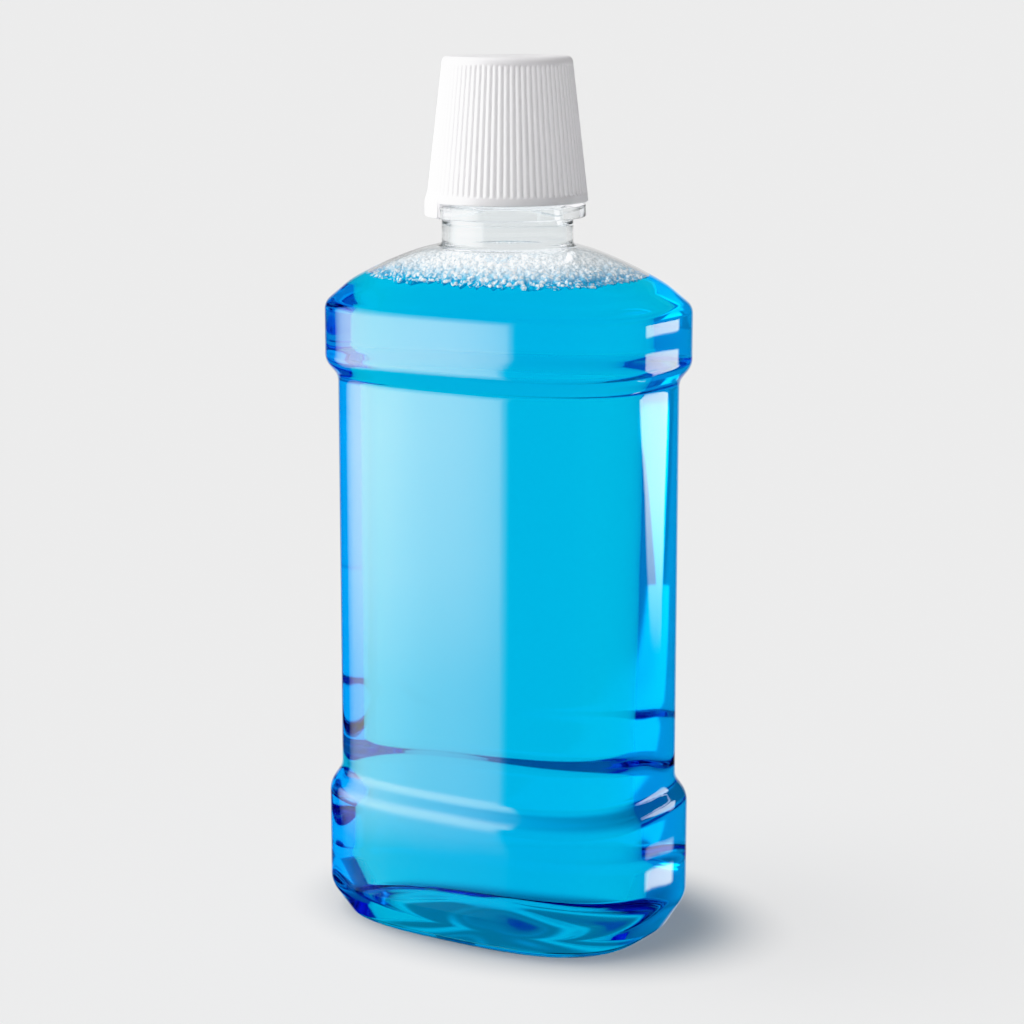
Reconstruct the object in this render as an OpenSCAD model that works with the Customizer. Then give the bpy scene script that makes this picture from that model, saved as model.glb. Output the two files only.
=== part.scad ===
// Mouthwash bottle: an oblong clear bottle with a recessed panel, its liquid and froth,
// and a tapered screw cap that doubles as a dosing cup and locks with two hanging tabs.
// Millimetres. The origin is the middle of the face it stands on, +Z is up, and the
// broad faces look along -Y and +Y.

/* [Body] */
// Width of the body across its two bands
body_w = 82; // [74:1:92]
// Depth of the body across its two bands
body_d = 59; // [53:1:64]
// Squareness of the body's oval: 2 is an ellipse, 6 is nearly a rectangle
squareness = 3; // [2.6:0.1:4.6]
// Thickness of the body's wall
wall = 0.6; // [0.4:0.05:0.9]
// Height of the base band's upper edge
base_band_h = 30.4; // [26:0.2:38]
// Height of the panel's lower edge above the base band
base_slope_h = 4; // [2.6:0.2:5]
// Height of the panel between its two sloping edges
panel_h = 92; // [70:0.2:110]
// Height of the slope from the panel out to the upper band
band_slope_h = 3.4; // [2.4:0.2:4.4]
// Height of the upper band between its two edges
band_h = 13.2; // [9:0.2:18]
// How far the panel lies inside the bands
panel_inset = 2.6; // [1.6:0.1:3.6]

/* [Base] */
// Height of the bevel round the foot
foot_bevel_h = 7; // [6:0.2:11]
// How far the foot lies inside the base band
foot_inset = 4.2; // [3.6:0.2:6]
// Width of the flat ring that the bottle stands on
stand_w = 3; // [2:0.2:4.4]
// Height of the push-up in the middle of the underside
push_up_h = 7; // [4:0.2:9]
// Number of petals in the push-up
petals = 6; // [4:2:8]
// Depth of the valleys between the petals
petal_depth = 0.9; // [0.3:0.1:1.3]

/* [Shoulder] */
// Height of the bevel above the upper band
bevel_h = 5; // [4.4:0.2:7]
// How far the bevel draws the body in
bevel_inset = 5.4; // [4.4:0.2:7]
// Height of the dome from the bevel to the foot of the neck
dome_h = 8.6; // [7:0.2:10]
// Curve of the dome: 1 is a cone, 2 is well rounded
dome_curve = 1.4; // [1.2:0.1:2]

/* [Neck] */
// Diameter of the round stem that shows between the dome and the ring
stem_d = 29.5; // [28:0.1:31]
// Wall of the stem
stem_wall = 1.4; // [1:0.1:1.8]
// Height of the stem
stem_h = 6; // [5:0.2:8]
// Diameter of the clear ring under the cap
ring_d = 35.1; // [34:0.1:36]
// Height of the clear ring
ring_h = 2.7; // [2:0.1:3.6]
// Diameter of the finish that the cap turns on, without its thread
finish_d = 26.6; // [26:0.1:27]
// Bore of the finish
mouth_d = 23.8; // [22:0.1:24.2]
// Height of the finish above the ring
finish_h = 14.2; // [12.6:0.2:15]
// Height that the thread stands out from the finish
thread_depth = 0.8; // [0.7:0.1:0.9]

/* [Cap] */
// Height of the cap from its rim to its top
cap_h = 32; // [30:0.5:36]
// Diameter of the cap at its rim
cap_rim_d = 36.2; // [36:0.1:38]
// Diameter of the cap at its top
cap_top_d = 28.8; // [27.4:0.1:32]
// Rounding of the cap's top edge
cap_edge_r = 1.9; // [1:0.1:2.4]
// Wall of the cap shell
shell_wall = 0.9; // [0.8:0.05:1.1]
// Thickness of the cap shell's top
shell_top = 1.2; // [1:0.1:1.8]
// Number of upright ribs round the cap
ribs = 74; // [60:1:80]
// Depth of the grooves between the ribs
rib_depth = 0.3; // [0.15:0.05:0.4]
// Height of the smooth band under the ribs
smooth_band_h = 2.2; // [1.6:0.2:4]
// Gap between the cap's rim and the ring under it
rim_gap = 0.7; // [0.5:0.1:1.2]

/* [Lock tabs] */
// Turn of the tabs round the neck, from the body's right-hand side
tab_turn = 48; // [0:1:90]
// Part of the circle that each tab takes, in degrees
tab_sweep = 32; // [20:1:44]
// How far the tabs hang below the rim
tab_drop = 3.2; // [2:0.2:4]
// Thickness of the tabs
tab_wall = 0.7; // [0.6:0.05:0.9]
// Gap between the tabs and the ring
tab_gap = 0.25; // [0.2:0.05:0.5]

/* [Dosing cup] */
// Wall of the threaded sleeve
sleeve_wall = 0.9; // [0.8:0.05:1]
// Wall of the cup above the sleeve
cup_wall = 1; // [0.8:0.05:1.2]
// Thickness of the cup's floor
cup_floor = 1; // [0.8:0.1:1.5]
// Gap between the thread and the sleeve
thread_gap = 0.3; // [0.25:0.05:0.4]
// Number of drive teeth between the cup and the shell
drive_teeth = 8; // [4:1:12]
// Height of the drive teeth
drive_h = 1.2; // [0.8:0.1:1.6]

/* [Seal] */
// Thickness of the seal ring
seal_h = 1; // [0.8:0.1:1.4]
// Width of the seal ring
seal_w = 2.2; // [1.6:0.1:2.6]

/* [Filling] */
// How far the liquid's surface lies below the foot of the neck
headspace = 7.2; // [6.4:0.2:14]
// Depth of the froth on the liquid
froth_h = 5.6; // [2:0.2:6]

/* [Hidden] */
$fn = 96;
// Points round the body, and steps in a rounded edge and along the dome
around = 48;
edge_steps = 2;
dome_steps = 5;
push_up_steps = 4;
// Share of the push-up's reach that its flat eye takes
push_up_eye = 0.2;
// Clearance between pieces that are seated on each other, and round the filling
seat = 0.1;
fill_gap = 0.1;
// How far a tooth reaches into what carries it
root_overlap = 0.05;

// Heights of the edges, from the foot up
panel_z0 = base_band_h + base_slope_h;
panel_z1 = panel_z0 + panel_h;
band_z0 = panel_z1 + band_slope_h;
band_z1 = band_z0 + band_h;
bevel_z1 = band_z1 + bevel_h;
stem_z0 = bevel_z1 + dome_h;
ring_z0 = stem_z0 + stem_h;
ring_z1 = ring_z0 + ring_h;
mouth_z = ring_z1 + finish_h;
rim_z = ring_z1 + rim_gap;
cap_z1 = rim_z + cap_h;
level_z = stem_z0 - headspace;

// Radii of the neck
stem_r = stem_d / 2;
ring_r = ring_d / 2;
finish_r = finish_d / 2;
mouth_r = mouth_d / 2;
stem_bore_r = stem_r - stem_wall;

// Reach of the rounding from each edge, along both sides of the edge
edge_reach = min(base_slope_h, band_slope_h) * 0.45;
soft_reach = 1.8;

// Profile of the wall as [inset, height, reach of the rounding], from the stand ring up.
// The inset is the same all round, so that every section is the same oval drawn in.
wall_profile = [
    [foot_inset, 0, 0],
    [foot_inset - 0.5, 0.6, 0.4],
    [0, foot_bevel_h, soft_reach],
    [0, base_band_h, soft_reach],
    [panel_inset, panel_z0, edge_reach],
    [panel_inset, panel_z1, edge_reach],
    [0, band_z0, edge_reach],
    [0, band_z1, soft_reach],
    [bevel_inset, bevel_z1, soft_reach],
];

// Quadratic curve that rounds the corner at b between points a and c, starting and
// ending at the given reach from b
function toward(b, a, reach) = b + (a - b) * reach / norm(a - b);
function corner(a, b, c, reach, steps) =
    let (p = toward(b, a, reach), q = toward(b, c, reach))
    [for (i = [0:steps]) let (t = i / steps) (1 - t) ^ 2 * p + 2 * t * (1 - t) * b + t ^ 2 * q];
function flat(p) = [p[0], p[1]];
function rounded(path, steps) = [
    for (i = [0:len(path) - 1])
        let (last = i == 0 || i == len(path) - 1)
        each last || path[i][2] == 0
            ? [flat(path[i])]
            : corner(flat(path[i - 1]), flat(path[i]), flat(path[i + 1]), path[i][2], steps)
];

// A section is [half width, half depth, squareness, height, depth of its petals]
function inset_section(inset, z) = [body_w / 2 - inset, body_d / 2 - inset, squareness, z, 0];
function blend(a, b, t) = a + (b - a) * t;

// Underside: rings from the middle of the push-up out to the stand ring
stand_inner = inset_section(foot_inset + stand_w, 0);
push_up_sections = [
    for (i = [0:push_up_steps - 1])
        let (t = blend(push_up_eye, 1, i / push_up_steps))
        [
            stand_inner[0] * t,
            stand_inner[1] * t,
            blend(2, squareness, t),
            push_up_h * cos(90 * t),
            petal_depth * sin(180 * (t - push_up_eye) / (1 - push_up_eye)),
        ]
];
wall_sections = [for (p = rounded(wall_profile, edge_steps)) inset_section(p[0], p[1])];

// Dome: the oval turns into the circle of the neck while it climbs ever less steeply
dome_base = inset_section(bevel_inset, bevel_z1);
// Reach of the fillet at the foot of the stem, and how far the dome runs on inside it
neck_fillet = 0.9;
neck_sink = 0.4;
dome_r = stem_r + neck_fillet;
dome_sections = [
    for (i = [1:dome_steps])
        let (t = i / dome_steps, q = 1 - t)
        [
            blend(dome_base[0], dome_r, t),
            blend(dome_base[1], dome_r, t),
            blend(squareness, 2, t),
            bevel_z1 + (dome_h - neck_fillet / 2) * (1 - q ^ dome_curve),
            0,
        ]
];
outer_sections = concat(
    push_up_sections,
    [stand_inner],
    wall_sections,
    dome_sections,
    [[stem_r - neck_sink, stem_r - neck_sink, 2, stem_z0 + neck_sink / 2, 0]]
);

// The same sections drawn in by a distance at right angles to the profile
function reach_of(s) = (s[0] + s[1]) / 2;
function drawn_in(sections, k, by) =
    let (
        s = sections[k],
        before = sections[max(k - 1, 0)],
        after = sections[min(k + 1, len(sections) - 1)],
        out = reach_of(after) - reach_of(before),
        up = after[3] - before[3],
        n = norm([out, up])
    )
    [s[0] - by * up / n, s[1] - by * up / n, s[2], s[3] + by * out / n, s[4]];
function all_drawn_in(sections, by) = [for (k = [0:len(sections) - 1]) drawn_in(sections, k, by)];

// Points of one section: an oval by the rule |x/a|^p + |y/b|^p = 1, evenly spread round it
function oval(s) = [
    for (i = [0:around - 1])
        let (
            a = 360 * i / around,
            c = cos(a),
            d = sin(a),
            r = (abs(c) ^ s[2] + abs(d) ^ s[2]) ^ (-1 / s[2])
        )
        [s[0] * r * c, s[1] * r * d, s[3] - s[4] * (0.5 + 0.5 * cos(petals * a))]
];

// Closed skin over a list of sections, with a flat face on the first and on the last
module loft(sections) {
    n = around;
    last = len(sections) - 1;
    points = [for (s = sections) each oval(s)];
    sides = [
        for (k = [0:last - 1], i = [0:n - 1])
            let (j = (i + 1) % n, p = k * n, q = (k + 1) * n)
            each [[p + i, q + j, p + j], [p + i, q + i, q + j]]
    ];
    first_face = [for (i = [0:n - 1]) i];
    last_face = [for (i = [0:n - 1]) last * n + n - 1 - i];
    polyhedron(points, concat(sides, [first_face, last_face]));
}

// Space inside the bottle up to the foot of the neck, drawn in by a further gap
function cavity(gap) = all_drawn_in(outer_sections, wall + gap);
cavity_sections = cavity(0);
filling_sections = cavity(fill_gap);

// The section at a height above the foot, found between its neighbours
function part_at(sections, z, j) = lookup(z, [for (s = sections) if (s[3] > push_up_h + 2) [s[3], s[j]]]);
function section_at(sections, z) = [for (j = [0:2]) part_at(sections, z, j)];
function cut_section(sections, z) = concat(section_at(sections, z), [z, 0]);

module bottle() {
    color([0.86, 0.93, 0.96, 0.35])
    difference() {
        union() {
            loft(outer_sections);
            rotate_extrude() neck_outline();
        }
        loft(concat(cavity_sections, [stem_cap(stem_z0 + 0.3)]));
        rotate_extrude() neck_bore();
    }
}

// Outer half of the neck: stem, ring and finish, rooted in the dome
module neck_outline() {
    root = stem_z0 - 0.6;
    soft = 0.4;
    polygon([
        [0, root],
        [stem_r, root],
        [stem_r, ring_z0],
        [ring_r - soft, ring_z0],
        [ring_r, ring_z0 + soft],
        [ring_r, ring_z1 - soft],
        [ring_r - soft, ring_z1],
        [finish_r, ring_z1],
        [finish_r, mouth_z - soft],
        [finish_r - soft, mouth_z],
        [0, mouth_z],
    ]);
}

// Bore of the neck: wide in the stem, narrower in the finish
module neck_bore() {
    step = stem_bore_r - mouth_r;
    polygon([
        [0, stem_z0 - 1.2],
        [stem_bore_r, stem_z0 - 1.2],
        [stem_bore_r, ring_z0],
        [mouth_r, ring_z0 + max(step, 0.1)],
        [mouth_r, mouth_z + 1],
        [0, mouth_z + 1],
    ]);
}

function stem_cap(z) = [stem_bore_r - 0.05, stem_bore_r - 0.05, 2, z, 0];

module mouthwash() {
    color([0.0, 0.72, 0.91, 0.85])
    loft(concat(
        [for (s = filling_sections) if (s[3] < level_z - 0.2) s],
        [cut_section(filling_sections, level_z)]
    ));
}

module froth() {
    z0 = level_z + fill_gap;
    z1 = level_z + froth_h;
    color([0.93, 0.96, 0.98])
    loft(concat(
        [cut_section(filling_sections, z0)],
        [for (s = filling_sections) if (s[3] > z0 + 0.2 && s[3] < z1 - 0.2) s],
        [cut_section(filling_sections, z1)]
    ));
}

// Radius of the cap shell's outside at a height, along its straight taper
function taper_r(z) = blend(cap_rim_d / 2, cap_top_d / 2, (z - rim_z) / cap_h);
function shell_inner_r(z) = taper_r(z) - shell_wall - rib_depth / 2;

module cap_shell() {
    color([0.97, 0.97, 0.97])
    union() {
        difference() {
            union() {
                smooth_band();
                ribbed_taper();
                cap_crown();
            }
            shell_hollow();
        }
        lock_tabs();
        drive_ring(shell_under_z - drive_h, 0);
    }
}

rib_sink = 0.03;
rib_z0 = rim_z + smooth_band_h;
rib_z1 = cap_z1 - cap_edge_r - 0.9;
shell_under_z = cap_z1 - shell_top;

module smooth_band() {
    translate([0, 0, rim_z])
        cylinder(r1 = taper_r(rim_z), r2 = taper_r(rib_z0), h = smooth_band_h);
}

// The ribs run up the taper and grow narrower with it. They end inside the plain cones
// below and above them, a hair within their surface.
module ribbed_taper() {
    z0 = rib_z0 - 0.4;
    z1 = rib_z1 + 0.4;
    r0 = taper_r(z0) - rib_sink;
    r1 = taper_r(z1) - rib_sink;
    pitch = 360 / ribs;
    // Share of the pitch, radius from the axis
    tooth = [[0, r0], [0.42, r0], [0.58, r0 - rib_depth], [0.84, r0 - rib_depth]];
    translate([0, 0, z0])
        linear_extrude(height = z1 - z0, scale = r1 / r0)
            polygon([
                for (k = [0:ribs - 1], t = tooth)
                    t[1] * [cos((k + t[0]) * pitch), sin((k + t[0]) * pitch)]
            ]);
}

// Plain cone above the ribs, with the rounded top edge
module cap_crown() {
    r0 = taper_r(rib_z1);
    r1 = taper_r(cap_z1);
    rotate_extrude()
        polygon(concat(
            [[0, rib_z1], [r0, rib_z1]],
            [for (i = [0:6]) let (a = 15 * i)
                [r1 - cap_edge_r * (1 - cos(a)), cap_z1 - cap_edge_r * (1 - sin(a))]],
            [[0, cap_z1]]
        ));
}

// Hollow of the shell, with a groove-free taper and a bead that holds the cup
module shell_hollow() {
    rotate_extrude()
        polygon([
            [0, rim_z - 1],
            [shell_inner_r(rim_z - 1), rim_z - 1],
            [shell_inner_r(shell_under_z), shell_under_z],
            [0, shell_under_z],
        ]);
}

tab_r0 = ring_r + tab_gap;
tab_r1 = tab_r0 + tab_wall;
tab_z0 = rim_z - tab_drop;

// Two tabs that hang outside the ring and stop the cap from turning until it is squeezed
module lock_tabs() {
    root = rib_z0 - 0.4;
    sink = 0.15;
    for (turn = [tab_turn, tab_turn + 180])
        rotate([0, 0, turn - tab_sweep / 2])
            rotate_extrude(angle = tab_sweep)
                polygon([
                    [tab_r0, tab_z0],
                    [tab_r1 - 0.2, tab_z0],
                    [tab_r1, tab_z0 + 0.3],
                    [tab_r1, rim_z + 0.4],
                    [taper_r(root) - sink, root],
                    [shell_inner_r(root) + sink, root],
                    [shell_inner_r(rim_z) + sink, rim_z + sink],
                    [tab_r0, rim_z + sink],
                ]);
}

// Half of the drive teeth: the shell's and the cup's fill each other's gaps
module drive_ring(z, phase) {
    pitch = 360 / drive_teeth;
    r0 = cup_outer_r(cup_top_z) * 0.55;
    r1 = cup_outer_r(cup_top_z) - 1.2;
    tooth_w = PI * r0 / drive_teeth - 2 * seat;
    for (k = [0:drive_teeth - 1])
        rotate([0, 0, (k + phase) * pitch])
            translate([r0, -tooth_w / 2, z])
                cube([r1 - r0, tooth_w, drive_h + root_overlap]);
}

// Heights and radii of the cup
sleeve_r0 = finish_r + thread_depth + thread_gap;
sleeve_r1 = sleeve_r0 + sleeve_wall;
sleeve_z0 = ring_z1 + 1.2;
ledge_z = mouth_z + seat + seal_h + seat;
cup_top_z = shell_under_z - drive_h - seat;
function cup_outer_r(z) = shell_inner_r(z) - seat;
cup_mouth_r = mouth_r - 0.4;

module cap_cup() {
    color([0.93, 0.94, 0.95])
    union() {
        rotate_extrude() cup_outline();
        drive_ring(cup_top_z - root_overlap, 0.5);
    }
}

// Half of the cup: a straight sleeve, the ledge for the seal, and the tapered cup
module cup_outline() {
    floor_z = cup_top_z - cup_floor;
    // Height at which the straight sleeve meets the shell's taper
    meet_z = rim_z + cap_h * (cap_rim_d / 2 - shell_wall - rib_depth / 2 - seat - sleeve_r1)
        / (cap_rim_d / 2 - cap_top_d / 2);
    polygon([
        [sleeve_r0, sleeve_z0],
        [sleeve_r1 - 0.3, sleeve_z0],
        [sleeve_r1, sleeve_z0 + 0.3],
        [sleeve_r1, meet_z],
        [cup_outer_r(cup_top_z), cup_top_z],
        [0, cup_top_z],
        [0, floor_z],
        [cup_outer_r(floor_z) - cup_wall - 0.8, floor_z],
        [cup_outer_r(floor_z) - cup_wall, floor_z - 0.8],
        [cup_mouth_r, ledge_z],
        [sleeve_r0, ledge_z],
    ]);
}

module seal_ring() {
    color([0.88, 0.9, 0.9])
    translate([0, 0, mouth_z + seat])
        difference() {
            cylinder(r = cup_mouth_r + seal_w, h = seal_h);
            translate([0, 0, -1]) cylinder(r = cup_mouth_r, h = seal_h + 2);
        }
}

bottle();
mouthwash();
froth();
cap_shell();
cap_cup();
seal_ring();
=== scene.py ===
"""Looks of the mouthwash bottle: clear PET shell, blue liquid, froth, ribbed screw cap.

Sizes are in millimetres in this file and turn into metres where a mesh is made. The frame is
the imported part's: the origin is the middle of the foot, +Z is up, the broad faces look along
-Y and +Y.
"""

import math

import bpy
import numpy as np
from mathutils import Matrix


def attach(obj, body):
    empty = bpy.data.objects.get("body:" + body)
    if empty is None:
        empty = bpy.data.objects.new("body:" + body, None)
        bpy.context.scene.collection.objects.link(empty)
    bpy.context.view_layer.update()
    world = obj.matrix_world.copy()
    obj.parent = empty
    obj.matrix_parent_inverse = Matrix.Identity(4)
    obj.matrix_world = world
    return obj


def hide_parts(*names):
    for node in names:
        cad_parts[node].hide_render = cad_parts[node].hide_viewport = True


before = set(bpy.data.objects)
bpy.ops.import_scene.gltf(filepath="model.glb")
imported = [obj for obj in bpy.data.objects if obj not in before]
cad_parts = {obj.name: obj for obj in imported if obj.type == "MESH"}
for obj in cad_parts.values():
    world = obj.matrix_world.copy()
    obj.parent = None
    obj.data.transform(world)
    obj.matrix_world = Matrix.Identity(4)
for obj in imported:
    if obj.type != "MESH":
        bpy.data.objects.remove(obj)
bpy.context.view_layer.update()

MM = 0.001

# Body, the same sizes as the solids have
BODY_W, BODY_D, SQUARE = 82.0, 59.0, 3.0
WALL = 0.6
FOOT_INSET, STAND_W, PUSH_UP = 4.2, 3.0, 4.6
PETALS, PETAL_DEPTH, PUSH_UP_EYE = 6, 0.8, 0.2
FOOT_BEVEL_Z, BASE_BAND_Z = 7.0, 30.4
PANEL_Z0, PANEL_Z1, PANEL_INSET = 34.4, 126.4, 2.6
BAND_Z0, BAND_Z1 = 129.8, 143.0
BEVEL_Z, BEVEL_INSET = 148.0, 5.4
STEM_Z, STEM_R, STEM_BORE = 156.6, 14.75, 13.35
DOME_H, DOME_CURVE, NECK_FILLET = 8.6, 1.4, 0.9
RING_Z0, RING_Z1, RING_R = 162.6, 165.3, 17.55
FINISH_R, MOUTH_R, MOUTH_Z = 13.3, 11.9, 179.5
THREAD_DEPTH, THREAD_LEAD = 0.8, 4.23
LEVEL_Z = 149.4

# Cap
RIM_Z, CAP_Z1 = 166.0, 198.0
RIM_R, TOP_R, TOP_EDGE = 18.1, 14.4, 1.4
SHELL_WALL, SHELL_TOP = 0.9, 1.2
RIBS, RIB_DEPTH, SMOOTH_BAND = 74, 0.36, 1.6
TAB_TURN, TAB_SWEEP, TAB_R0, TAB_WALL, TAB_DROP = 50.5, 29.0, 17.8, 0.7, 3.2
SLEEVE_R0 = 14.4

# Froth: its gap to the wall, how far it reaches below the liquid line and stays under the stem,
# the deepest lump of its rim, and its bubbles
FROTH_GAP, FROTH_SINK, FROTH_TOP = 0.9, 0.6, 1.8
RIM_LUMP = 1.5
BUBBLES, BUBBLE_R, BUBBLE_MORE = 13000, 0.26, 0.7

# Stage: distance of the upright lights from the bottle's middle
LIGHT_R = 330

chance = np.random.default_rng(11)


def rgb(code):
    """Linear colour of an sRGB hex value: v / 12.92 up to 0.04045, else ((v + 0.055) / 1.055) ^ 2.4."""
    v = np.array([int(code[i : i + 2], 16) / 255 for i in (1, 3, 5)])
    v = np.where(v <= 0.04045, v / 12.92, ((v + 0.055) / 1.055) ** 2.4)
    return (*[float(x) for x in v], 1.0)


# Surfaces


def skin(name, rows, tube=False):
    """Mesh over rings of points: rows[k, i] is point i of ring k, in millimetres. Every ring
    closes on itself. A tube also joins its last ring to its first; any other skin is closed by a
    point in the middle of its first ring and of its last one. Faces are turned outwards by the
    sign of the volume, the sum of a . (b x c) / 6 over the triangles."""
    rings, n = rows.shape[:2]
    points = rows.reshape(-1, 3)
    row = np.arange(rings if tube else rings - 1)[:, None] * n
    after = (row + n) % (rings * n)
    i, j = np.arange(n), (np.arange(n) + 1) % n
    quads = np.stack([row + i, row + j, after + j, after + i], -1).reshape(-1, 4)
    corners = np.concatenate([quads[:, [0, 1, 2]], quads[:, [0, 2, 3]]])
    caps = np.zeros((0, 3), int)
    if not tube:
        foot, head = len(points), len(points) + 1
        last = (rings - 1) * n
        points = np.concatenate([points, rows[:1].mean(1), rows[-1:].mean(1)])
        caps = np.concatenate(
            [
                np.stack([np.full(n, foot), j, i], -1),
                np.stack([np.full(n, head), last + i, last + j], -1),
            ]
        )
    every = np.concatenate([corners, caps])
    a, b, c = (points[every[:, k]] for k in range(3))
    if np.einsum("ij,ij->i", a, np.cross(b, c)).sum() < 0:
        quads, caps = quads[:, ::-1], caps[:, ::-1]
    mesh = bpy.data.meshes.new(name)
    mesh.from_pydata((points * MM).tolist(), [], quads.tolist() + caps.tolist())
    mesh.polygons.foreach_set("use_smooth", np.ones(len(mesh.polygons), bool))
    mesh.update()
    piece = bpy.data.objects.new(name, mesh)
    bpy.context.scene.collection.objects.link(piece)
    return piece


def oval(sections, n):
    """Rings by the rule |x/a|^p + |y/b|^p = 1, from rows of [a, b, p, height, petal depth]. The
    petals lower the ring by depth * (1 + cos(petals * angle)) / 2."""
    a, b, p, z, petal = (np.asarray(sections, float)[:, k, None] for k in range(5))
    angle = np.arange(n) / n * 2 * np.pi
    c, s = np.cos(angle), np.sin(angle)
    r = (np.abs(c) ** p + np.abs(s) ** p) ** (-1 / p)
    dip = petal * (0.5 + 0.5 * np.cos(PETALS * angle))
    return np.stack([a * r * c, b * r * s, z - dip + 0 * r], -1)


def turned(profile, n):
    """Rings of a turned shape from rows of [radius, height]."""
    r, z = np.asarray(profile, float).T[:, :, None]
    angle = np.arange(n) / n * 2 * np.pi
    return np.stack([r * np.cos(angle), r * np.sin(angle), z + 0 * angle], -1)


def rounded(path, steps=8):
    """Path of [x, y, reach] with each corner b replaced by the quadratic curve
    (1-t)^2 p + 2t(1-t) b + t^2 q, where p and q lie at the reach from b on its two sides."""
    path = np.asarray(path, float)
    t = np.linspace(0, 1, steps + 1)[:, None]
    out = [path[:1, :2]]
    for a, b, c in zip(path[:-2], path[1:-1], path[2:]):
        p = b[:2] + (a - b)[:2] * b[2] / np.linalg.norm((a - b)[:2])
        q = b[:2] + (c - b)[:2] * b[2] / np.linalg.norm((c - b)[:2])
        curve = (1 - t) ** 2 * p + 2 * t * (1 - t) * b[:2] + t**2 * q
        out.append(curve if b[2] else b[None, :2])
    out.append(path[-1:, :2])
    return np.concatenate(out)


def grown(rows, by):
    """Rings moved along their outward normals. The normal is the cross product of the step round
    the ring and the sum of the unit steps from the ring before and to the ring after."""
    around = np.roll(rows, -1, 1) - np.roll(rows, 1, 1)
    step = np.diff(rows, axis=0)
    step /= np.linalg.norm(step, axis=2, keepdims=True)
    onward = np.concatenate([step[:1], step[:-1] + step[1:], step[-1:]])
    normal = np.cross(around, onward)
    normal /= np.linalg.norm(normal, axis=2, keepdims=True)
    return rows + by * normal


def cut_at(rows, z):
    """Rings of an upright shape up to a height, the last one found between its neighbours."""
    k = int(np.argmax(rows[:, :, 2].mean(1) > z))
    low, high = rows[k - 1], rows[k]
    t = (z - low[:, 2:]) / (high[:, 2:] - low[:, 2:])
    rim = low + t * (high - low)
    rim[:, 2] = z
    keep = rows[:k][rows[:k, :, 2].max(1) < z - 0.15]
    return np.concatenate([keep, rim[None]])


def inward(ring, shares, heights):
    """Rings that shrink from one ring towards its middle, by a share and at a height each."""
    middle = ring.mean(0)
    out = middle + np.asarray(shares)[:, None, None] * (ring - middle)
    out[:, :, 2] = np.asarray(heights)[:, None]
    return out


# Bottle

AROUND = 240


def body_sections():
    """Outer sections from the middle of the underside to the foot of the stem: a push-up by
    height = cos(quarter turn * t), a profile with rounded corners drawn in all round, and a dome
    that turns the oval into the stem's circle while it climbs by 1 - (1-t)^curve."""
    half = np.array([BODY_W / 2, BODY_D / 2])
    inner = half - FOOT_INSET - STAND_W
    t = np.linspace(0.03, 0.93, 26)
    lift = np.clip((t - PUSH_UP_EYE) / (1 - PUSH_UP_EYE), 0, 1)
    push_up = np.stack(
        [
            inner[0] * t,
            inner[1] * t,
            2 + (SQUARE - 2) * t,
            PUSH_UP * np.cos(t * np.pi / 2),
            PETAL_DEPTH * np.sin(lift * np.pi),
        ],
        -1,
    )
    wall = rounded(
        [
            [FOOT_INSET + STAND_W + 1.4, 0.9, 0],
            [FOOT_INSET + STAND_W - 0.2, 0.0, 0.9],
            [FOOT_INSET, 0.0, 0.9],
            [0, FOOT_BEVEL_Z, 1.8],
            [0, BASE_BAND_Z, 1.8],
            [PANEL_INSET, PANEL_Z0, 1.53],
            [PANEL_INSET, PANEL_Z1, 1.53],
            [0, BAND_Z0, 1.53],
            [0, BAND_Z1, 1.6],
            [BEVEL_INSET - 1.1, BEVEL_Z - 1.02, 0],
        ]
    )
    inset, z = wall.T
    walls = np.stack([half[0] - inset, half[1] - inset, SQUARE + 0 * z, z, 0 * z], -1)
    neck_r = STEM_R + NECK_FILLET
    t = np.linspace(0.08, 1, 36)
    base = half - BEVEL_INSET
    dome = np.stack(
        [
            base[0] + (neck_r - base[0]) * t,
            base[1] + (neck_r - base[1]) * t,
            SQUARE + (2 - SQUARE) * t,
            BEVEL_Z + (DOME_H - NECK_FILLET / 2) * (1 - (1 - t) ** DOME_CURVE),
            0 * t,
        ],
        -1,
    )
    # The edge between the bevel and the dome, rounded by (1-t)^2 a + 2t(1-t) b + t^2 c
    edge = np.array([*base, SQUARE, BEVEL_Z, 0])
    t = np.linspace(0, 1, 9)[1:-1, None]
    turn = (1 - t) ** 2 * walls[-1] + 2 * t * (1 - t) * edge + t**2 * dome[0]
    return np.concatenate([push_up, walls, turn, dome])


body = oval(body_sections(), AROUND)

neck = turned(
    rounded(
        [
            [STEM_R + 0.45, STEM_Z - 0.36, 0],
            [STEM_R, STEM_Z + 0.1, 0.4],
            [STEM_R, RING_Z0, 0.4],
            [RING_R, RING_Z0, 0.3],
            [RING_R, RING_Z1, 0.3],
            [FINISH_R, RING_Z1, 0.3],
            [FINISH_R, MOUTH_Z, 0.45],
            [MOUTH_R, MOUTH_Z, 0.3],
            [MOUTH_R, RING_Z1 + 2.2, 1.5],
            [STEM_BORE, RING_Z0 - 2.4, 1.5],
            [STEM_BORE, STEM_Z + 0.6, 0.6],
            [STEM_BORE + 0.9, STEM_Z - 0.75, 0],
        ],
        6,
    ),
    AROUND,
)
lining = grown(body, -WALL)
lining = lining[lining[:, :, 2].max(1) < STEM_Z - 1.0][::-1]
bottle_rows = np.concatenate([body, neck, lining])
bottle = skin("bottle_shell", bottle_rows)

# The liquid's skin lies in the middle of the wall, so that no film of air shows between them
wetted = cut_at(grown(body, -WALL / 2), LEVEL_Z)
surface = inward(
    wetted[-1],
    [0.995, 0.985, 0.97, 0.94, 0.8, 0.5, 0.2],
    LEVEL_Z + np.array([-0.25, -0.5, -0.65, -0.7, -0.7, -0.7, -0.7]),
)
liquid = skin("liquid", np.concatenate([wetted, surface]))


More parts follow.
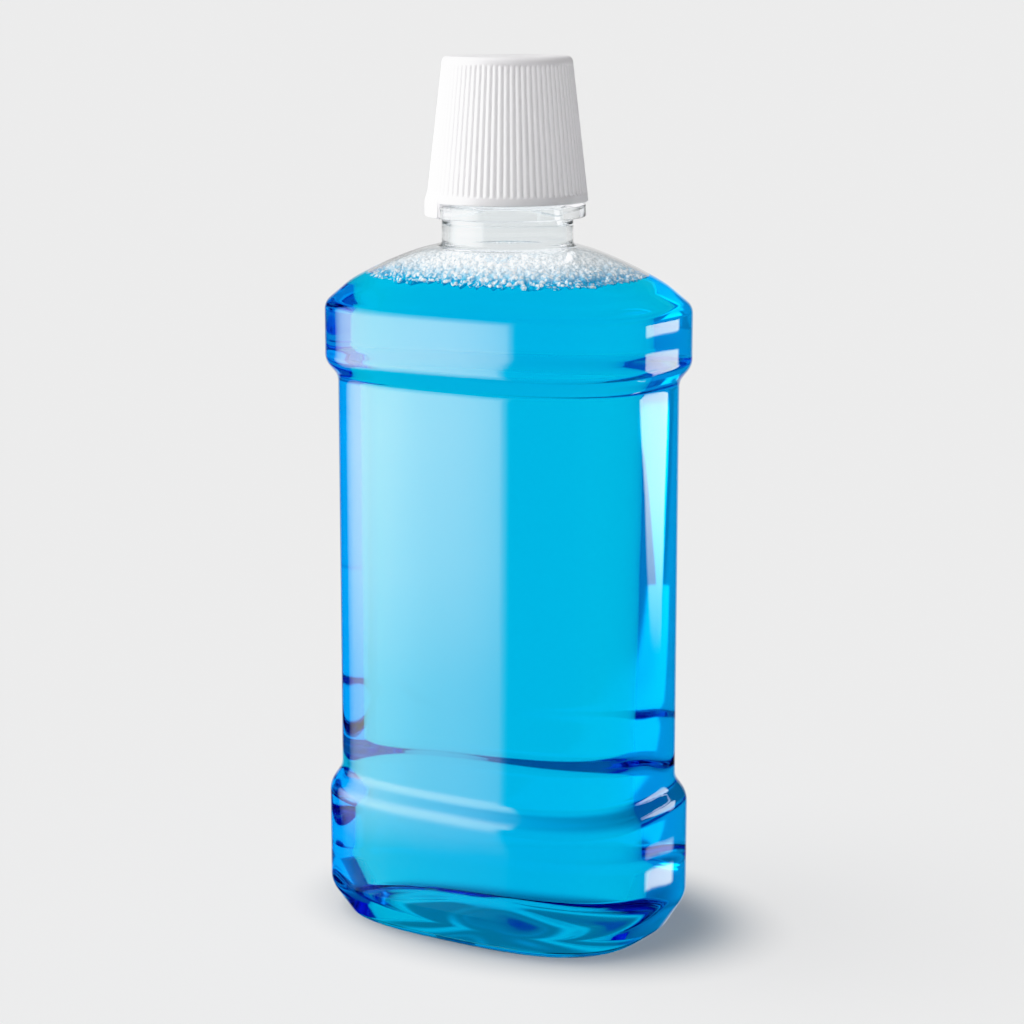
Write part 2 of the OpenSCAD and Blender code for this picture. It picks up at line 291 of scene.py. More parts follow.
def ridge(turns, start_z, start_angle, foot_r, crest_r, foot_w, crest_w, name):
    """Screw thread: a four-sided outline carried up a right-hand helix, height = lead * turn,
    whose crest sinks back into the wall over an eighth of a turn at both ends."""
    turn = np.linspace(0, turns, int(turns * 96) + 1)
    angle = start_angle + turn * 2 * np.pi
    out = np.stack([np.cos(angle), np.sin(angle), 0 * angle], -1)
    height = np.clip(np.minimum(turn, turns - turn) / 0.125, 0, 1)
    height = height * height * (3 - 2 * height)
    side = np.array([[0, -1], [1, -1], [1, 1], [0, 1]], float)
    t = np.arange(16) / 16 * 4
    k, share = t.astype(int), (t % 1)[:, None]
    loop = side[k] * (1 - share) + side[(k + 1) % 4] * share
    r = foot_r + (crest_r - foot_r) * height[:, None] * loop[None, :, 0]
    half = (foot_w + (crest_w - foot_w) * loop[None, :, 0]) / 2
    z = start_z + THREAD_LEAD * turn[:, None] + half * loop[None, :, 1]
    return skin(name, np.stack([r * out[:, None, 0], r * out[:, None, 1], z], -1))


THREAD_Z, THREAD_ANGLE = RING_Z1 + 3.2, 0.6

neck_thread = ridge(
    turns=1.5,
    start_z=THREAD_Z,
    start_angle=THREAD_ANGLE,
    foot_r=FINISH_R - 0.12,
    crest_r=FINISH_R + THREAD_DEPTH,
    foot_w=2.2,
    crest_w=1.0,
    name="neck_thread",
)
cup_thread = ridge(
    turns=1.25,
    start_z=THREAD_Z + THREAD_LEAD / 2,
    start_angle=THREAD_ANGLE,
    foot_r=SLEEVE_R0 + 0.12,
    crest_r=FINISH_R + 0.35,
    foot_w=1.7,
    crest_w=0.7,
    name="cup_thread",
)

# Cap


def taper_r(z):
    """Radius of the cap's straight taper at a height."""
    return RIM_R + (TOP_R - RIM_R) * (z - RIM_Z) / (CAP_Z1 - RIM_Z)


def smooth_step(x):
    """0 below 0, 1 above 1, and 3x^2 - 2x^3 between."""
    x = np.clip(x, 0, 1)
    return x * x * (3 - 2 * x)


def ribbed_shell():
    """Rings of the cap shell, down its outside and up its hollow, and how many of them come
    before the hollow. The outside radius is the taper less a groove
    depth * (1 - |cos(ribs * angle / 2)|^0.8), faded to nothing towards the smooth band and the
    crown."""
    n = RIBS * 8
    crown = rounded(
        [
            [0.8, CAP_Z1 - 0.25, 0],
            [TOP_R - 3.2, CAP_Z1 - 0.25, 0.5],
            [TOP_R - 2.6, CAP_Z1, 0.4],
            [TOP_R, CAP_Z1, TOP_EDGE],
            [taper_r(CAP_Z1 - 5), CAP_Z1 - 5, 0],
        ],
        8,
    )[:-1]
    top, low = CAP_Z1 - TOP_EDGE - 0.2, RIM_Z + SMOOTH_BAND
    z = np.concatenate(
        [
            np.linspace(top, top - 1.2, 6),
            np.linspace(top - 3, low + 1.8, 12),
            np.linspace(low + 0.8, low, 6),
        ]
    )
    side = np.stack([taper_r(z), z], -1)
    hollow_r = taper_r(RIM_Z) - SHELL_WALL - RIB_DEPTH / 2
    under = CAP_Z1 - SHELL_TOP
    rim = rounded(
        [
            [taper_r(low), low - 0.3, 0],
            [RIM_R, RIM_Z, 0.35],
            [hollow_r, RIM_Z, 0.25],
            [taper_r(under) - SHELL_WALL - RIB_DEPTH / 2, under, 0.5],
            [0.8, under, 0],
        ],
        5,
    )
    profile = np.concatenate([crown, side, rim])
    rows = turned(profile, n)
    angle = np.arange(n) / n * 2 * np.pi
    wave = np.abs(np.cos(angle * RIBS / 2)) ** 0.8
    groove = RIB_DEPTH * (1 - wave)
    z, start, end = profile[:, 1], len(crown), len(crown) + len(side)
    fade = smooth_step((top - z) / 0.7) * smooth_step((z - low) / 0.8)
    fade[:start], fade[end:] = 0, 0
    pull = 1 - fade[:, None] * groove[None] / profile[:, :1]
    rows[:, :, :2] *= pull[:, :, None]
    return rows, end + 8


shell_rows, outside = ribbed_shell()
cap = skin("cap_outer_shell", shell_rows)


def lock_tab(turn, sweep):
    """Rings of one hanging tab: a rounded upright outline carried round the neck's axis, and
    drawn in a little at its two ends."""
    half = math.radians(sweep / 2)
    r1 = TAB_R0 + TAB_WALL
    z0 = RIM_Z - TAB_DROP
    outline = rounded(
        [
            [TAB_R0, RIM_Z - 1, 0],
            [TAB_R0, z0, 0.15],
            [r1, z0, 0.4],
            [r1, RIM_Z + 0.5, 0.8],
            [taper_r(RIM_Z + 2.4) - 0.1, RIM_Z + 2.4, 0.1],
            [RIM_R - 0.8, RIM_Z + 2.2, 0.1],
            [RIM_R - 0.8, RIM_Z + 0.3, 0.1],
            [TAB_R0, RIM_Z + 0.2, 0.1],
            [TAB_R0, RIM_Z - 1, 0],
        ],
        5,
    )[:-1]
    share = np.array([-1, -0.997, -0.985, -0.96, *np.linspace(-0.9, 0.9, 21), 0.96, 0.985, 0.997, 1])
    angle = math.radians(turn) + half * share
    shrink = 0.25 * (1 - np.sqrt(1 - np.clip((np.abs(share) - 0.96) / 0.04, 0, 1) ** 2))[:, None]
    middle = outline.mean(0)
    r = outline[None, :, 0] - shrink * np.sign(outline[None, :, 0] - middle[0])
    z = outline[None, :, 1] - shrink * np.sign(outline[None, :, 1] - middle[1])
    return np.stack([r * np.cos(angle)[:, None], r * np.sin(angle)[:, None], z], -1)


# The far tab is narrower, so that it stays out of sight behind the neck ring
tabs = [
    skin("lock_tab_1", lock_tab(TAB_TURN + 7, TAB_SWEEP - 14)),
    skin("lock_tab_2", lock_tab(TAB_TURN + 180, TAB_SWEEP)),
]

# Froth


def froth_rows(n=840):
    """Rings of the froth between the liquid and the dome: out over the liquid, up the wall and in
    over the top. A smoothed random row of lumps lowers the rim at the liquid line."""
    inside = grown(oval(body_sections(), n), -WALL - FROTH_GAP)
    above = inside[:, :, 2].min(1) > LEVEL_Z - FROTH_SINK
    below = inside[:, :, 2].max(1) < STEM_Z - FROTH_TOP
    climb = inside[above & below]
    t = np.linspace(0, len(climb) - 1, 72)
    k = np.minimum(t.astype(int), len(climb) - 2)
    share = (t - k)[:, None, None]
    climb = climb[k] * (1 - share) + climb[k + 1] * share
    top = inward(climb[-1], np.linspace(0.94, 0.1, 14), np.full(14, climb[-1, :, 2].mean()))
    floor = inward(climb[0], np.linspace(0.1, 0.97, 6), np.full(6, LEVEL_Z - FROTH_SINK))
    rows = np.concatenate([floor, climb, top])
    lumps = np.convolve(np.tile(chance.random(n), 3), np.hanning(9), "same")[n : 2 * n]
    lumps = smooth_step((lumps - lumps.min()) / np.ptp(lumps))
    rows[:, :, 2] -= RIM_LUMP * lumps * smooth_step((LEVEL_Z + 1.6 - rows[:, :, 2]) / 2.2)
    return rows, len(floor)


def bubbles_on(rows, first, count):
    """Push of every point towards the outside by the round bubbles that reach it, the largest
    sqrt(r^2 - d^2), and how deep it lies between them (0 on a crest, 1 in a gap). Each bubble is
    set against the patch of the grid round its own point."""
    rings, n = rows.shape[:2]
    push = np.zeros((rings, n))
    ring, column = chance.integers(first, rings, count), chance.integers(0, n, count)
    size = BUBBLE_R + BUBBLE_MORE * chance.random(count) ** 5
    off = chance.normal(0, 0.12, (count, 3))
    reach = np.arange(-6, 7)
    for k, c, r, shift in zip(ring, column, size, off):
        patch = np.ix_(np.arange(max(k - 9, first), min(k + 10, rings)), (c + reach) % n)
        lift = r * r - ((rows[patch] - rows[k, c] - shift) ** 2).sum(2)
        push[patch] = np.maximum(push[patch], np.sqrt(np.clip(lift, 0, None)))
    crest = np.clip(push, 0, 0.8)
    return crest, 1 - np.clip(crest / 0.55, 0, 1)


foam, first_row = froth_rows()
crest, gap = bubbles_on(foam, first_row, BUBBLES)
crest[:first_row] = 0
froth = skin("froth_bubbles", foam + (grown(foam, 1.0) - foam) * crest[:, :, None])
gaps = np.concatenate([gap.ravel(), [0, 0]]).astype(np.float32)
froth.data.attributes.new("gap", "FLOAT", "POINT").data.foreach_set("value", gaps)

# Materials


def add(tree, kind, joins=(), sets=(), **attributes):
    """One node with its settings and links: attributes by name, sets and joins by socket."""
    node = tree.nodes.new(kind)
    for name, value in attributes.items():
        setattr(node, name, value)
    for socket, value in dict(sets).items():
        node.inputs[socket].default_value = value
    for socket, source in dict(joins).items():
        tree.links.new(source, node.inputs[socket])
    return node


def material(name):
    """Empty node material with its Principled shader and its output, and Object coordinates."""
    made = bpy.data.materials.new(name)
    made.use_nodes = True
    tree = made.node_tree
    tree.nodes.clear()
    shader = add(tree, "ShaderNodeBsdfPrincipled")
    output = add(tree, "ShaderNodeOutputMaterial", {"Surface": shader.outputs["BSDF"]})
    place = add(tree, "ShaderNodeTexCoord").outputs["Object"]
    return made, tree, shader, output, place


def clear_pet():
    """Blow-moulded PET: clear, very glossy, with the faint long waves of a blown wall."""
    made, tree, shader, _, place = material("blown_clear_pet")
    shader.inputs["Base Color"].default_value = rgb("#F9FDFE")
    shader.inputs["Roughness"].default_value = 0.02
    shader.inputs["IOR"].default_value = 1.57
    shader.inputs["Transmission Weight"].default_value = 1.0
    wave = add(tree, "ShaderNodeTexNoise", {"Vector": place}, {"Scale": 38.0, "Detail": 1.0})
    bump = add(
        tree, "ShaderNodeBump", {"Height": wave.outputs["Fac"]}, {"Strength": 0.06, "Distance": 0.001}
    )
    tree.links.new(bump.outputs["Normal"], shader.inputs["Normal"])
    return made


def wetted_pet():
    """The lining where liquid wets it: light bends there by 1.57 / 1.34 only, and hardly any is
    thrown back, which is why a full bottle shows no inner wall."""
    made, _, shader, _, _ = material("wetted_clear_pet")
    shader.inputs["Base Color"].default_value = (1, 1, 1, 1)
    shader.inputs["Roughness"].default_value = 0.0
    shader.inputs["IOR"].default_value = 1.57 / 1.34
    shader.inputs["Transmission Weight"].default_value = 1.0
    return made


def blue_liquid():
    """Dyed water with alcohol: bluer the further the light goes through it. Its skin bends
    nothing, because the wetted lining of the bottle does that."""
    made, tree, shader, output, _ = material("blue_liquid")
    shader.inputs["Base Color"].default_value = (1, 1, 1, 1)
    shader.inputs["Roughness"].default_value = 0.0
    shader.inputs["IOR"].default_value = 1.0
    shader.inputs["Transmission Weight"].default_value = 1.0
    dye = add(
        tree,
        "ShaderNodeVolumeAbsorption",
        sets={"Color": (0.05, 0.907, 0.996, 1), "Density": 112.0},
    )
    tree.links.new(dye.outputs["Volume"], output.inputs["Volume"])
    return made


def white_pp(name, code, through):
    """Moulded polypropylene: white, softly glossy, fine mould texture. Some light comes through the
    thin wall by scattering inside it, and a painted glow, of the strength through, keeps the hollow
    from going dark."""
    made, tree, shader, _, place = material(name)
    grain = add(tree, "ShaderNodeTexNoise", {"Vector": place}, {"Scale": 900.0, "Detail": 2.0})
    tint = add(tree, "ShaderNodeTexNoise", {"Vector": place}, {"Scale": 60.0, "Detail": 2.0})
    tone = add(
        tree,
        "ShaderNodeMixRGB",
        {"Fac": tint.outputs["Fac"]},
        {"Color1": rgb(code), "Color2": rgb("#F1F0F1")},
    )
    gloss = add(
        tree, "ShaderNodeMapRange", {"Value": tint.outputs["Fac"]}, {"To Min": 0.34, "To Max": 0.46}
    )
    bump = add(
        tree, "ShaderNodeBump", {"Height": grain.outputs["Fac"]}, {"Strength": 0.08, "Distance": 0.0002}
    )
    tree.links.new(tone.outputs["Color"], shader.inputs["Base Color"])
    tree.links.new(gloss.outputs["Result"], shader.inputs["Roughness"])
    tree.links.new(bump.outputs["Normal"], shader.inputs["Normal"])
    shader.inputs["IOR"].default_value = 1.49
    shader.inputs["Subsurface Weight"].default_value = 0.5
    shader.inputs["Subsurface Radius"].default_value = (1.0, 1.0, 1.0)
    shader.inputs["Subsurface Scale"].default_value = 0.0015
    # Painted glow: the plastic gives off a faint violet-white light of its own
    shader.inputs["Emission Color"].default_value = rgb("#FCF8FF")
    shader.inputs["Emission Strength"].default_value = through
    return made


def foam_skin():
    """Froth: pale bubble skins with the liquid's blue in the gaps between them, most of all along
    the liquid line, and greyer patches where fewer bubbles lie. All of it glows a little in its own
    colour, painted light for the light that the bubbles pass on."""
    made, tree, shader, _, place = material("froth")
    gap = add(tree, "ShaderNodeAttribute", attribute_name="gap")
    cells = add(tree, "ShaderNodeTexVoronoi", {"Vector": place}, {"Scale": 1050.0})
    edge = add(
        tree,
        "ShaderNodeMapRange",
        {"Value": cells.outputs["Distance"]},
        {"From Min": 0.3, "From Max": 0.62},
    )
    patch = add(tree, "ShaderNodeTexNoise", {"Vector": place}, {"Scale": 170.0, "Detail": 2.0})
    height = add(tree, "ShaderNodeSeparateXYZ", {"Vector": place})
    low = add(
        tree,
        "ShaderNodeMapRange",
        {"Value": height.outputs["Z"]},
        {
            "From Min": (LEVEL_Z + 0.6) * MM,
            "From Max": (LEVEL_Z + 4.0) * MM,
            "To Min": 1.0,
            "To Max": 0.0,
        },
    )
    thin = add(
        tree,
        "ShaderNodeMapRange",
        {"Value": patch.outputs["Fac"]},
        {"From Min": 0.62, "From Max": 0.85},
    )
    open_froth = add(
        tree,
        "ShaderNodeMath",
        {0: low.outputs["Result"], 1: thin.outputs["Result"]},
        operation="MAXIMUM",
    )
    holes = add(
        tree,
        "ShaderNodeMath",
        {0: gap.outputs["Fac"], 1: edge.outputs["Result"]},
        operation="MAXIMUM",
    )
    blue = add(
        tree,
        "ShaderNodeMath",
        {0: holes.outputs["Value"], 1: open_froth.outputs["Value"]},
        operation="MULTIPLY",
    )
    fine = add(tree, "ShaderNodeTexVoronoi", {"Vector": place}, {"Scale": 1900.0})
    speck = add(
        tree,
        "ShaderNodeMapRange",
        {"Value": fine.outputs["Distance"]},
        {"From Min": 0.3, "From Max": 0.7},
    )
    pale = add(
        tree,
        "ShaderNodeMixRGB",
        {"Fac": speck.outputs["Result"]},
        {"Color1": rgb("#FDFDFE"), "Color2": rgb("#C9D2D9")},
    )
    tone = add(
        tree,
        "ShaderNodeMixRGB",
        {"Fac": blue.outputs["Value"], "Color1": pale.outputs["Color"]},
        {"Color2": rgb("#1297C6")},
    )
    dome = add(tree, "ShaderNodeMath", {0: cells.outputs["Distance"]}, {1: -1.0}, operation="MULTIPLY")
    bump = add(
        tree, "ShaderNodeBump", {"Height": dome.outputs["Value"]}, {"Strength": 0.7, "Distance": 0.0004}
    )
    tree.links.new(tone.outputs["Color"], shader.inputs["Base Color"])
    tree.links.new(tone.outputs["Color"], shader.inputs["Emission Color"])
    tree.links.new(bump.outputs["Normal"], shader.inputs["Normal"])
    # Painted glow: the froth gives off light in its own colours
    shader.inputs["Emission Strength"].default_value = 0.46
    shader.inputs["Roughness"].default_value = 0.15
    shader.inputs["IOR"].default_value = 1.34
    return made


pet = clear_pet()
# Painted glow of 0.04, 0.14 and 0.25: the cup's finish and the tab finish, which also lines the cap's
# hollow, glow most
cap_white = white_pp("moulded_white_pp", "#FBF9FC", 0.04)
cup_white = white_pp("cup_white_pp", "#F2F3F4", 0.14)
tab_white = white_pp("painted_glow_tab_pp", "#FBF9FC", 0.25)


def dress(piece, finish, body_name, slot, *nodes):
    """Gives a piece its material and body and hides the solids that it stands for; the record slot is
    not used.
    """
    piece.data.materials.clear()
    piece.data.materials.append(finish)
    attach(piece, body_name)
    if nodes:
        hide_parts(*nodes)


dress(bottle, pet, "filled_bottle", "clear_pet", "bottle")
bottle.data.materials.append(wetted_pet())
ring_z = bottle_rows[:, :, 2].mean(1)
wet = np.arange(len(ring_z)) >= len(body) + len(neck)
wet = (wet & (ring_z < LEVEL_Z))[1:]
slots = np.zeros(len(bottle.data.polygons), np.int32)
slots[: len(wet) * AROUND] = np.repeat(wet, AROUND)
slots[-AROUND:] = 1
bottle.data.polygons.foreach_set("material_index", slots)
dress(neck_thread, pet, "filled_bottle", "clear_pet")
dress(liquid, blue_liquid(), "filled_bottle", "mouthwash", "mouthwash")
dress(froth, foam_skin(), "filled_bottle", "froth", "froth")
dress(cap, cap_white, "cap", "cap_white", "cap_shell")
# The hollow of the shell takes the tab finish, whose painted glow stands for the light coming through
# the wall
cap.data.materials.append(tab_white)
slots = np.zeros(len(cap.data.polygons), np.int32)
slots[outside * RIBS * 8 : (len(shell_rows) - 1) * RIBS * 8] = 1
slots[-RIBS * 8 :] = 1
cap.data.polygons.foreach_set("material_index", slots)
for tab in tabs:
    dress(tab, tab_white, "cap", "cap_white")
dress(cup_thread, cup_white, "cap", "cup_white")
for node, finish in (("cap_cup", cup_white), ("seal_ring", cup_white)):
    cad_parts[node].data.materials.clear()
    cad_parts[node].data.materials.append(finish)

# Stage: pale floor, soft light, camera


def stage_plane(name, centre, across, up, finish):
    """Flat rectangle from its middle and its two half sides, in millimetres."""
    centre, across, up = (np.array(v, float) for v in (centre, across, up))
    corners = [centre - across - up, centre + across - up, centre + across + up, centre - across + up]
    mesh = bpy.data.meshes.new(name)
    mesh.from_pydata([(p * MM).tolist() for p in corners], [], [(0, 1, 2, 3)])
    plane = bpy.data.objects.new(name, mesh)
    bpy.context.scene.collection.objects.link(plane)
    mesh.materials.append(finish)
    return plane


def opal_floor():
    """Pale dull floor that glows a little, not at all for dull surfaces. Its glow is cut by painted
    shadow, less and bluer in an oval under the bottle and just behind it, where little light comes but
    through the liquid, and by painted shade in front of the bottle where it is seen through it."""
    made = bpy.data.materials.new("opal_floor")
    made.use_nodes = True
    tree = made.node_tree
    shader = tree.nodes["Principled BSDF"]
    place = add(tree, "ShaderNodeTexCoord").outputs["Object"]
    path = add(tree, "ShaderNodeLightPath")
    # Painted shadow: an oval a little behind the middle of the foot, where the floor's glow falls off
    painted_shadow = add(
        tree,
        "ShaderNodeVectorMath",
        {0: place},
        {1: (1 / 0.042, 1 / 0.032, 0)},
        operation="MULTIPLY",
    )
    painted_shadow = add(
        tree,
        "ShaderNodeVectorMath",
        {0: painted_shadow.outputs["Vector"]},
        {1: (0.12, 0.15, 0)},
        operation="DISTANCE",
    )
    painted_shadow = add(
        tree,
        "ShaderNodeMapRange",
        {"Value": painted_shadow.outputs["Value"]},
        {"From Min": 0.85, "From Max": 1.55},
        interpolation_type="SMOOTHSTEP",
    )
    # Colour of the glow: dark blue-grey in the painted shadow, the floor's grey outside it
    painted_shadow_tint = add(
        tree,
        "ShaderNodeMixRGB",
        {"Fac": painted_shadow.outputs["Result"]},
        {"Color1": (0.05, 0.08, 0.11, 1), "Color2": (0.58, 0.58, 0.58, 1)},
    )
    dull = add(
        tree,
        "ShaderNodeMath",
        {0: path.outputs["Is Diffuse Ray"]},
        {1: -1.0, 2: 1.0},
        operation="MULTIPLY_ADD",
    )
    # Painted shade: seen through the bottle, the floor glows less just in front of it
    painted_front_shade = add(
        tree,
        "ShaderNodeVectorMath",
        {0: place},
        {1: (0.53, -0.85, 0)},
        operation="DOT_PRODUCT",
    )
    painted_front_shade = add(
        tree,
        "ShaderNodeMapRange",
        {"Value": painted_front_shade.outputs["Value"]},
        {"From Min": 0.03, "From Max": 0.05, "To Min": 0.0, "To Max": 0.6},
    )
    through = add(
        tree,
        "ShaderNodeMath",
        {0: path.outputs["Is Transmission Ray"], 1: painted_front_shade.outputs["Result"]},
        operation="MULTIPLY",
    )
    level = add(
        tree,
        "ShaderNodeMath",
        {0: dull.outputs["Value"], 1: through.outputs["Value"]},
        operation="SUBTRACT",
    )
    tree.links.new(painted_shadow_tint.outputs["Color"], shader.inputs["Emission Color"])
    tree.links.new(level.outputs["Value"], shader.inputs["Emission Strength"])
    shader.inputs["Base Color"].default_value = (0.36, 0.36, 0.36, 1)
    shader.inputs["Roughness"].default_value = 1.0
    shader.inputs["Specular IOR Level"].default_value = 0.0
    return made


floor = stage_plane("floor", (0, 0, -0.05), (200000, 0, 0), (0, 200000, 0), opal_floor())
floor.visible_glossy = False


def studio_world():
    """Sky that is pale where it is seen, dimmer where it lights dull surfaces and high up, and
    nearly dark in reflections but for the backdrop straight behind, because only the lights
    beside the bottle show in the gloss."""
    world = bpy.data.worlds.new("studio")
    world.use_nodes = True
    tree = world.node_tree
    tree.nodes.clear()
    heading = add(tree, "ShaderNodeTexCoord").outputs["Generated"]
    upward = add(tree, "ShaderNodeSeparateXYZ", {"Vector": heading})
    sky = add(
        tree,
        "ShaderNodeMapRange",
        {"Value": upward.outputs["Z"]},
        {"From Min": -0.002, "From Max": 0.0, "To Min": 0.02, "To Max": 0.9},
    )
    path = add(tree, "ShaderNodeLightPath")
    onward = add(
        tree,
        "ShaderNodeVectorMath",
        {0: heading},
        {1: (-0.524, 0.829, -0.187)},
        operation="DOT_PRODUCT",
    )
    backdrop = add(
        tree,
        "ShaderNodeMapRange",
        {"Value": onward.outputs["Value"]},
        {"From Min": 0.88, "From Max": 0.97, "To Min": 0.04, "To Max": 0.7},
    )
    level = add(
        tree,
        "ShaderNodeMixRGB",
        {
            "Fac": path.outputs["Is Reflection Ray"],
            "Color1": sky.outputs["Result"],
            "Color2": backdrop.outputs["Result"],
        },
    )
    level = add(
        tree,
        "ShaderNodeMixRGB",
        {"Fac": path.outputs["Is Diffuse Ray"], "Color1": level.outputs["Color"]},
        {"Color2": (0.1, 0.1, 0.1, 1)},
    )
    high = add(
        tree,
        "ShaderNodeMapRange",
        {"Value": upward.outputs["Z"]},
        {"From Min": 0.35, "From Max": 0.62, "To Min": 1.0, "To Max": 0.42},
        interpolation_type="SMOOTHSTEP",
    )
    glare = add(
        tree,
        "ShaderNodeMath",
        {0: level.outputs["Color"], 1: high.outputs["Result"]},
        operation="MULTIPLY",
    )
    light = add(
        tree,
        "ShaderNodeBackground",
        {"Strength": glare.outputs["Value"]},
        {"Color": (1, 1, 1, 1)},
    )
    add(tree, "ShaderNodeOutputWorld", {"Surface": light.outputs["Background"]})
    return world


bpy.context.scene.world = studio_world()


def glow_finish(name):
    """Plain light whose strength is the surface's own "glow", added to what lies behind it."""
    made = bpy.data.materials.new(name)
    made.use_nodes = True
    tree = made.node_tree
    tree.nodes.clear()
    glow = add(tree, "ShaderNodeAttribute", attribute_name="glow")
    light = add(tree, "ShaderNodeEmission", {"Strength": glow.outputs["Fac"]})
    clear = add(tree, "ShaderNodeBsdfTransparent")
    both = add(tree, "ShaderNodeAddShader", {0: light.outputs["Emission"], 1: clear.outputs["BSDF"]})
    add(tree, "ShaderNodeOutputMaterial", {"Surface": both.outputs["Shader"]})
    return made


def light_sheet(name, points, glow):
    """Sheet over a grid of points in millimetres that glows by its own strength at each."""
    rows, columns = glow.shape
    k = np.arange(rows - 1)[:, None] * columns + np.arange(columns - 1)
    quads = np.stack([k, k + 1, k + columns + 1, k + columns], -1).reshape(-1, 4)
    mesh = bpy.data.meshes.new(name)
    mesh.from_pydata((points.reshape(-1, 3) * MM).tolist(), [], quads.tolist())
    strength = glow.ravel().astype(np.float32)
    mesh.attributes.new("glow", "FLOAT", "POINT").data.foreach_set("value", strength)
    mesh.materials.append(glow_finish(name))
    sheet = bpy.data.objects.new(name, mesh)
    bpy.context.scene.collection.objects.link(sheet)
    sheet.visible_camera = False
    sheet.visible_diffuse = False
    sheet.visible_shadow = False
    return sheet


def curved_wall(turns, heights):
    """Grid on an upright cylinder about the bottle's middle; turns run from the front, in
    degrees, to the left."""
    a, z = np.meshgrid(np.radians(turns), heights)
    return np.stack([-LIGHT_R * np.sin(a), -LIGHT_R * np.cos(a), z], -1)


# The tall soft light on the left, as the gloss shows it: it fades at both ends, at its top, and
# below the floor's level, where the floor's own reflection of it shows
turns, heights = np.linspace(4, 95, 120), np.linspace(-110, 380, 140)
shift = np.interp(heights, [-66, -56, 80, 90], [7, 2, 2, 7])[:, None]
across = 0.92 * np.interp(
    turns + shift,
    [12, 14, 17, 19, 23, 30, 40, 50, 62, 70, 80, 88, 94],
    [0, 0.04, 0.3, 0.62, 0.7, 0.82, 1, 1, 0.95, 0.9, 0.6, 0.25, 0],
)
upward = np.interp(
    heights,
    [-110, -72, -60, -46, -30, -14, 2, 18, 34, 60, 100, 150, 260, 380],
    [0.05, 0.08, 0.24, 0.42, 0.45, 0.5, 0.66, 0.8, 0.88, 1, 0.97, 0.9, 0.3, 0.05],
)
gloss_light = light_sheet("left_light", curved_wall(turns, heights), 6.8 * upward[:, None] * across)
gloss_light.visible_transmission = False

# The same light where it is seen through the liquid, turned back once inside its far wall: a
# band that grows narrower downwards
turns, heights = np.linspace(28, 56, 90), np.linspace(-60, 380, 120)
near = np.interp(heights, [-30, 70], [47.5, 39.2])[:, None]
far = np.interp(heights, [-30, 0, 70], [48, 49, 53])[:, None]
inside = smooth_step((turns - near + 0.5) / 1) * smooth_step((far + 1 - turns) / 2)
upward = np.interp(
    heights, [-36, -20, 0, 40, 70, 79, 83, 110, 130], [0, 0.16, 0.5, 0.84, 1, 1, 0.12, 0.12, 0]
)
inner_glow = 3.5 * inside * upward[:, None]
inner_light = light_sheet("left_light_inner", curved_wall(turns, heights), inner_glow)
inner_light.visible_glossy = False

# A glossy white card on the floor to the left of the front: it lights the same band lower down
turns, reach = np.linspace(34, 58, 60), np.linspace(40, LIGHT_R, 60)
a, radius = np.meshgrid(np.radians(turns), reach)
near = np.interp(reach, [40, 120, LIGHT_R], [35, 39, 40])[:, None]
inside = smooth_step((turns - near) / 2) * smooth_step((57 - turns) / 3)
card_glow = inside * np.interp(reach, [40, 60, 110, 200, LIGHT_R], [0, 1.4, 1.0, 1.1, 1.7])[:, None]
points = np.stack([-radius * np.sin(a), -radius * np.cos(a), 0 * a + 0.05], -1)
card = light_sheet("floor_card", points, card_glow)
card.visible_glossy = False


def window(x, low, high, soft):
    """1 between two values, with soft edges of a width outside them."""
    return smooth_step((x - low) / soft + 1) * smooth_step((high - x) / soft + 1)


# A narrow light behind on the right shines in the right-hand corner: one tapering streak for the
# panel, and two for each of the bands, with a dark stroke between them
turns, heights = np.linspace(-118, -180, 120), np.linspace(-104, 120, 200)
z = heights[:, None]
start = np.interp(heights, [-10, 11, 42, 78], [146, 144.5, 141.5, 134])[:, None]
stop = np.interp(heights, [-10, 11, 42, 78], [147, 147.5, 149, 152])[:, None]
strength = np.interp(heights, [-8, 11, 42, 78, 80, 82], [0, 1.5, 4.0, 5.0, 5.0, 0])[:, None]
streak = window(-turns, start, stop, 2.0) * strength
band = window(-turns, 132, 149, 3.0) * (window(z, 105, 113, 1.0) + window(z, 82.5, 93, 1.2))
base = window(-turns, 138, 148, 5.0) * (0.4 * window(z, -75, -71, 2.0) + window(z, -90, -83, 2.0))
corner_glow = streak + 5.0 * band + 5.0 * base
corner_light = light_sheet("right_light", curved_wall(turns, heights), corner_glow)
corner_light.visible_transmission = False
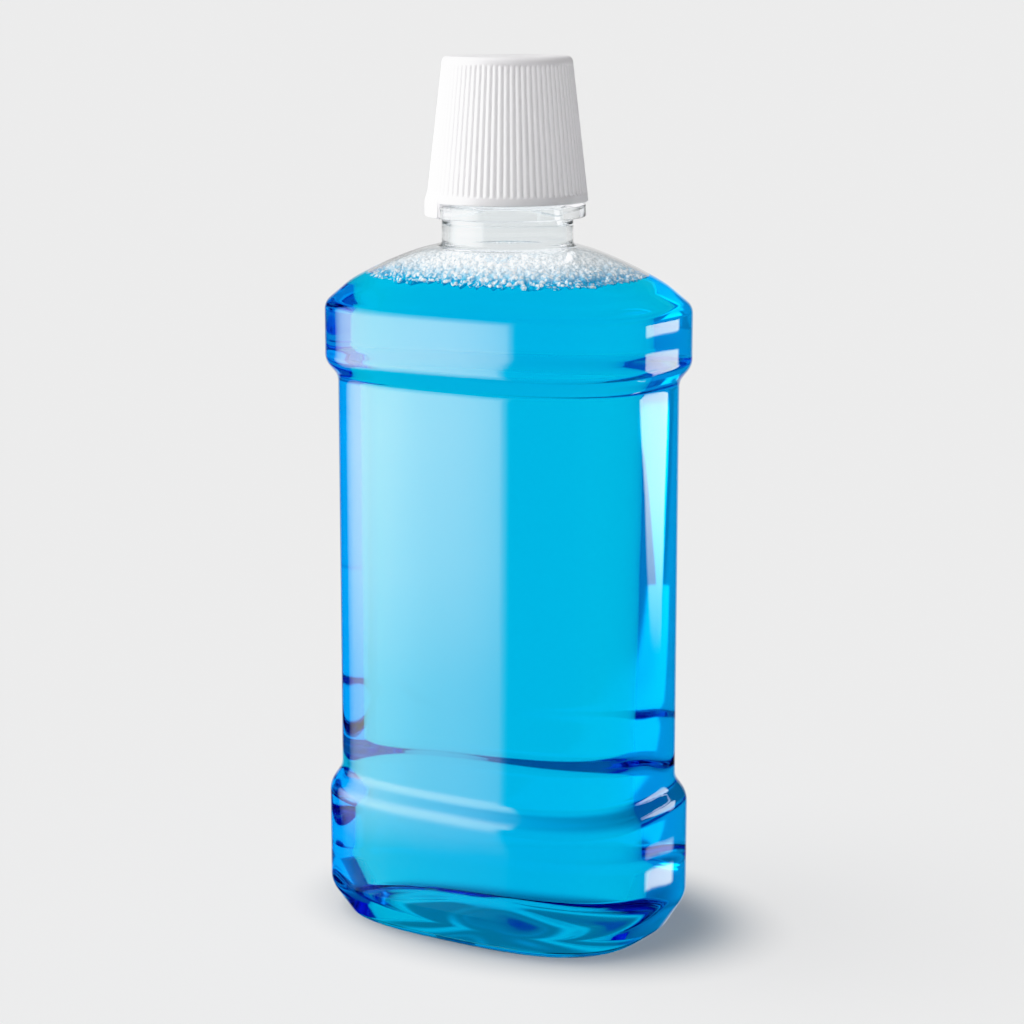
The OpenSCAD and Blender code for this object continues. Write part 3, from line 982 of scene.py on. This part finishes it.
# Faint light at the front on the right, upright and on the floor, seen in the left-hand corner
# after two inner reflections
turns, heights = np.linspace(-40, -100, 60), np.linspace(1, 160, 60)
glow = 0.8 * window(-turns, 50, 88, 5.0) * window(heights[:, None], 1, 130, 3.0)
light_sheet("front_right_light", curved_wall(turns, heights), glow).visible_glossy = False
a, radius = np.meshgrid(np.radians(np.linspace(40, 100, 60)), np.linspace(50, LIGHT_R, 60))
glow = 0.9 * window(np.degrees(a), 50, 88, 5.0) * window(radius, 60, 332, 5.0)
points = np.stack([radius * np.sin(a), -radius * np.cos(a), 0 * a + 0.05], -1)
light_sheet("front_right_card", points, glow).visible_glossy = False


def sun(name, energy, soft, down, turn):
    """Distant light: its softness, its tilt from straight above and its turn from the front."""
    lamp = bpy.data.objects.new(name, bpy.data.lights.new(name, "SUN"))
    bpy.context.scene.collection.objects.link(lamp)
    lamp.data.energy = energy
    lamp.data.angle = math.radians(soft)
    lamp.rotation_euler = (math.radians(down), 0, math.radians(turn))
    lamp.visible_glossy = False
    lamp.visible_transmission = False
    return lamp


sun("key", 1.8, 44, 24, -62)
sun("left_fill", 3.0, 30, 78, -72).data.use_shadow = False
sun("front_fill", 1.6, 30, 60, -26).data.use_shadow = False

camera = bpy.data.objects.new("camera", bpy.data.cameras.new("camera"))
bpy.context.scene.collection.objects.link(camera)
camera.data.sensor_width = 36.0
camera.data.lens = 97.9
camera.data.clip_start, camera.data.clip_end = 0.01, 1000.0
# Shifts are pixels of the 1024-pixel picture, and the camera looks down by the tilt
PICTURE, TILT, TURN = 1024, 10.8, 32.2
camera.data.shift_x, camera.data.shift_y = 4.5 / PICTURE, 2.0 / PICTURE
camera.location = (0.3325, -0.5280, 0.2138)
camera.rotation_euler = (math.radians(90 - TILT), 0, math.radians(TURN))
bpy.context.scene.camera = camera

# Plain view with a photographic curve: darks sink a little and highlights roll off
view = bpy.context.scene.view_settings
view.view_transform = "Standard"
view.use_curve_mapping = True
shoulder = view.curve_mapping
shoulder.clip_max_x = 4.0
curve = shoulder.curves[3]
curve.points[1].location = (4.0, 1.0)
TOE = ((0.012, 0.0006), (0.025, 0.0035), (0.06, 0.042), (0.12, 0.112))
MIDDLE = ((0.3, 0.3), (0.6, 0.597), (0.8, 0.745))
SHOULDER = ((1.0, 0.865), (1.2, 0.95), (1.5, 0.985), (2.2, 0.998))
for x, y in TOE + MIDDLE + SHOULDER:
    curve.points.new(x, y)
shoulder.update()

# Light crosses up to a dozen skins of wall and liquid, so it may turn that often
cycles = bpy.context.scene.cycles
cycles.max_bounces = cycles.transmission_bounces = 40
cycles.glossy_bounces = 20
